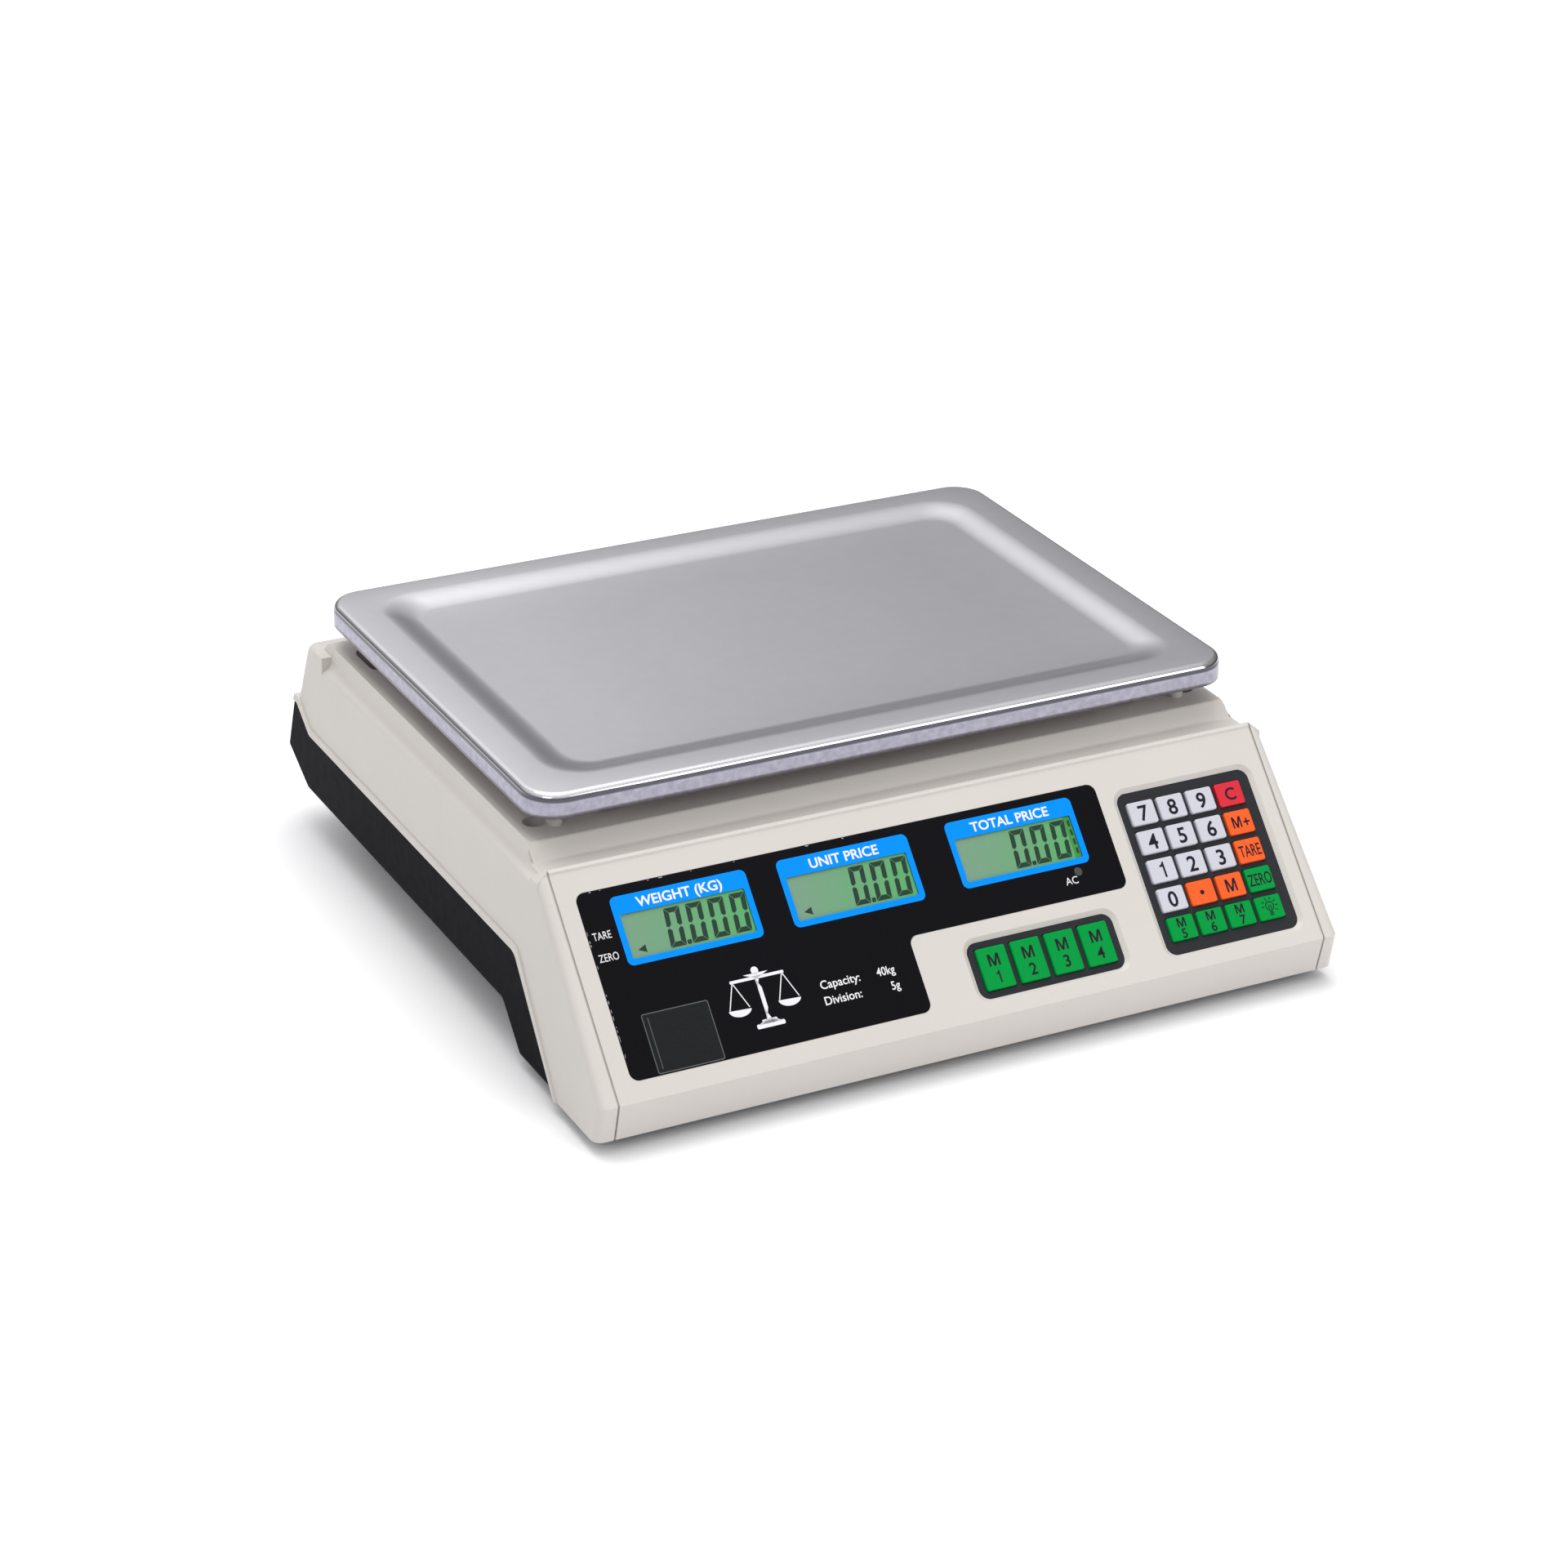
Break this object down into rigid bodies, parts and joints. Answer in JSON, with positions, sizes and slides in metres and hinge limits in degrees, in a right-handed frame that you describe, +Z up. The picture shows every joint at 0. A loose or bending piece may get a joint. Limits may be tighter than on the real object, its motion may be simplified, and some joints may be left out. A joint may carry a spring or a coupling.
{
  "type": "price-computing counter scale",
  "caption": "Retail counter scale with a dished steel platter, sloping front panel with three displays and two keypads, and a rear customer display.",
  "frame": {"origin": "middle of the footprint, on the surface that the feet stand on", "axes": "+X to the operator's right, +Y from the operator to the customer, +Z up"},
  "size_m": [0.3616, 0.36, 0.126],
  "materials": {
    "housing_plastic": "fine satin texture, warm off-white",
    "base_plastic": "satin charcoal black",
    "overlay_film": "glossy black printed film",
    "lcd_glass": "display glass over a green backlight",
    "keypad_plastic": "satin charcoal",
    "circuit_board": "green solder mask",
    "cell_aluminium": "machined and clear anodised",
    "fastener_steel": "zinc plated",
    "battery_case": "moulded case",
    "transformer_steel": "varnished laminations",
    "vial_acrylic": "clear acrylic",
    "black_fitting": "moulded black",
    "led_lens": "smoked lens",
    "support_plastic": "cream moulding",
    "pad_rubber": "soft black rubber",
    "foot_plastic": "moulded black",
    "platter_steel": "satin brushed stainless steel",
    "key_white": "cool white key caps",
    "key_red": "red key cap",
    "key_orange": "orange key caps",
    "key_green": "green key caps"
  },
  "bodies": {
    "housing": {"lower_base": "base_plastic", "upper_housing": "housing_plastic", "front_overlay": "overlay_film", "rear_overlay": "overlay_film", "front_lcd_weight": "lcd_glass", "front_lcd_unit_price": "lcd_glass", "front_lcd_total_price": "lcd_glass", "rear_lcds": "lcd_glass", "keypad_plate": "keypad_plastic", "memory_keypad_plate": "keypad_plastic", "keypad_board": "circuit_board", "memory_keypad_board": "circuit_board", "front_display_board": "circuit_board", "rear_display_board": "circuit_board", "main_board": "circuit_board", "load_cell": "cell_aluminium", "load_cell_base_bolts": "fastener_steel", "battery": "battery_case", "battery_cover": "base_plastic", "transformer": "transformer_steel", "level_vial": "vial_acrylic", "level_window": "vial_acrylic", "power_inlet": "black_fitting", "power_switch_frame": "black_fitting", "ac_led": "led_lens", "housing_screws": "fastener_steel", "tapping_screws": "fastener_steel"},
    "pan_support": {"pan_support": "support_plastic", "pan_support_pads": "pad_rubber", "pan_support_bolts": "fastener_steel"},
    "platter": {"platter": "platter_steel"},
    "power_rocker": {"power_switch_rocker": "black_fitting"},
    "key_7": {"key_7": "key_white"},
    "key_8": {"key_8": "key_white"},
    "key_9": {"key_9": "key_white"},
    "key_c": {"key_c": "key_red"},
    "key_4": {"key_4": "key_white"},
    "key_5": {"key_5": "key_white"},
    "key_6": {"key_6": "key_white"},
    "key_m_plus": {"key_m_plus": "key_orange"},
    "key_1": {"key_1": "key_white"},
    "key_2": {"key_2": "key_white"},
    "key_3": {"key_3": "key_white"},
    "key_tare": {"key_tare": "key_orange"},
    "key_0": {"key_0": "key_white"},
    "key_point": {"key_point": "key_orange"},
    "key_m": {"key_m": "key_orange"},
    "key_zero": {"key_zero": "key_green"},
    "key_m5": {"key_m5": "key_green"},
    "key_m6": {"key_m6": "key_green"},
    "key_m7": {"key_m7": "key_green"},
    "key_light": {"key_light": "key_green"},
    "key_m1": {"key_m1": "key_green"},
    "key_m2": {"key_m2": "key_green"},
    "key_m3": {"key_m3": "key_green"},
    "key_m4": {"key_m4": "key_green"},
    "foot_front_left": {"foot_front_left": "foot_plastic"},
    "foot_front_right": {"foot_front_right": "foot_plastic"},
    "foot_rear_left": {"foot_rear_left": "foot_plastic"},
    "foot_rear_right": {"foot_rear_right": "foot_plastic"}
  },
  "joints": [
    {"name": "platform_deflection", "type": "slide", "parent": "housing", "child": "pan_support", "axis": [0, 0, 1], "range_m": [-0.001, 0], "stiffness_N_per_m": 400000, "deforming": ["load_cell"]},
    {"name": "platter_lift_off", "type": "slide", "parent": "pan_support", "child": "platter", "axis": [0, 0, 1], "range_m": [0, 0.15]},
    {"name": "power_switch_pivot", "type": "hinge", "parent": "housing", "child": "power_rocker", "pos_m": [0.1726, 0.02, 0.04], "axis": [0, 0, 1], "range_deg": [-18, 0]},
    {"name": "key_7_press", "type": "slide", "parent": "housing", "child": "key_7", "axis": [0, 0.7309, -0.6825], "range_m": [0, 0.0012], "stiffness_N_per_m": 700},
    {"name": "key_8_press", "type": "slide", "parent": "housing", "child": "key_8", "axis": [0, 0.7309, -0.6825], "range_m": [0, 0.0012], "stiffness_N_per_m": 700},
    {"name": "key_9_press", "type": "slide", "parent": "housing", "child": "key_9", "axis": [0, 0.7309, -0.6825], "range_m": [0, 0.0012], "stiffness_N_per_m": 700},
    {"name": "key_c_press", "type": "slide", "parent": "housing", "child": "key_c", "axis": [0, 0.7309, -0.6825], "range_m": [0, 0.0012], "stiffness_N_per_m": 700},
    {"name": "key_4_press", "type": "slide", "parent": "housing", "child": "key_4", "axis": [0, 0.7309, -0.6825], "range_m": [0, 0.0012], "stiffness_N_per_m": 700},
    {"name": "key_5_press", "type": "slide", "parent": "housing", "child": "key_5", "axis": [0, 0.7309, -0.6825], "range_m": [0, 0.0012], "stiffness_N_per_m": 700},
    {"name": "key_6_press", "type": "slide", "parent": "housing", "child": "key_6", "axis": [0, 0.7309, -0.6825], "range_m": [0, 0.0012], "stiffness_N_per_m": 700},
    {"name": "key_m_plus_press", "type": "slide", "parent": "housing", "child": "key_m_plus", "axis": [0, 0.7309, -0.6825], "range_m": [0, 0.0012], "stiffness_N_per_m": 700},
    {"name": "key_1_press", "type": "slide", "parent": "housing", "child": "key_1", "axis": [0, 0.7309, -0.6825], "range_m": [0, 0.0012], "stiffness_N_per_m": 700},
    {"name": "key_2_press", "type": "slide", "parent": "housing", "child": "key_2", "axis": [0, 0.7309, -0.6825], "range_m": [0, 0.0012], "stiffness_N_per_m": 700},
    {"name": "key_3_press", "type": "slide", "parent": "housing", "child": "key_3", "axis": [0, 0.7309, -0.6825], "range_m": [0, 0.0012], "stiffness_N_per_m": 700},
    {"name": "key_tare_press", "type": "slide", "parent": "housing", "child": "key_tare", "axis": [0, 0.7309, -0.6825], "range_m": [0, 0.0012], "stiffness_N_per_m": 700},
    {"name": "key_0_press", "type": "slide", "parent": "housing", "child": "key_0", "axis": [0, 0.7309, -0.6825], "range_m": [0, 0.0012], "stiffness_N_per_m": 700},
    {"name": "key_point_press", "type": "slide", "parent": "housing", "child": "key_point", "axis": [0, 0.7309, -0.6825], "range_m": [0, 0.0012], "stiffness_N_per_m": 700},
    {"name": "key_m_press", "type": "slide", "parent": "housing", "child": "key_m", "axis": [0, 0.7309, -0.6825], "range_m": [0, 0.0012], "stiffness_N_per_m": 700},
    {"name": "key_zero_press", "type": "slide", "parent": "housing", "child": "key_zero", "axis": [0, 0.7309, -0.6825], "range_m": [0, 0.0012], "stiffness_N_per_m": 700},
    {"name": "key_m5_press", "type": "slide", "parent": "housing", "child": "key_m5", "axis": [0, 0.7309, -0.6825], "range_m": [0, 0.0012], "stiffness_N_per_m": 700},
    {"name": "key_m6_press", "type": "slide", "parent": "housing", "child": "key_m6", "axis": [0, 0.7309, -0.6825], "range_m": [0, 0.0012], "stiffness_N_per_m": 700},
    {"name": "key_m7_press", "type": "slide", "parent": "housing", "child": "key_m7", "axis": [0, 0.7309, -0.6825], "range_m": [0, 0.0012], "stiffness_N_per_m": 700},
    {"name": "key_light_press", "type": "slide", "parent": "housing", "child": "key_light", "axis": [0, 0.7309, -0.6825], "range_m": [0, 0.0012], "stiffness_N_per_m": 700},
    {"name": "key_m1_press", "type": "slide", "parent": "housing", "child": "key_m1", "axis": [0, 0.7309, -0.6825], "range_m": [0, 0.0012], "stiffness_N_per_m": 700},
    {"name": "key_m2_press", "type": "slide", "parent": "housing", "child": "key_m2", "axis": [0, 0.7309, -0.6825], "range_m": [0, 0.0012], "stiffness_N_per_m": 700},
    {"name": "key_m3_press", "type": "slide", "parent": "housing", "child": "key_m3", "axis": [0, 0.7309, -0.6825], "range_m": [0, 0.0012], "stiffness_N_per_m": 700},
    {"name": "key_m4_press", "type": "slide", "parent": "housing", "child": "key_m4", "axis": [0, 0.7309, -0.6825], "range_m": [0, 0.0012], "stiffness_N_per_m": 700},
    {"name": "foot_front_left_adjust", "type": "slide", "parent": "housing", "child": "foot_front_left", "axis": [0, 0, -1], "range_m": [0, 0.006]},
    {"name": "foot_front_right_adjust", "type": "slide", "parent": "housing", "child": "foot_front_right", "axis": [0, 0, -1], "range_m": [0, 0.006]},
    {"name": "foot_rear_left_adjust", "type": "slide", "parent": "housing", "child": "foot_rear_left", "axis": [0, 0, -1], "range_m": [0, 0.006]},
    {"name": "foot_rear_right_adjust", "type": "slide", "parent": "housing", "child": "foot_rear_right", "axis": [0, 0, -1], "range_m": [0, 0.006]}
  ]
}
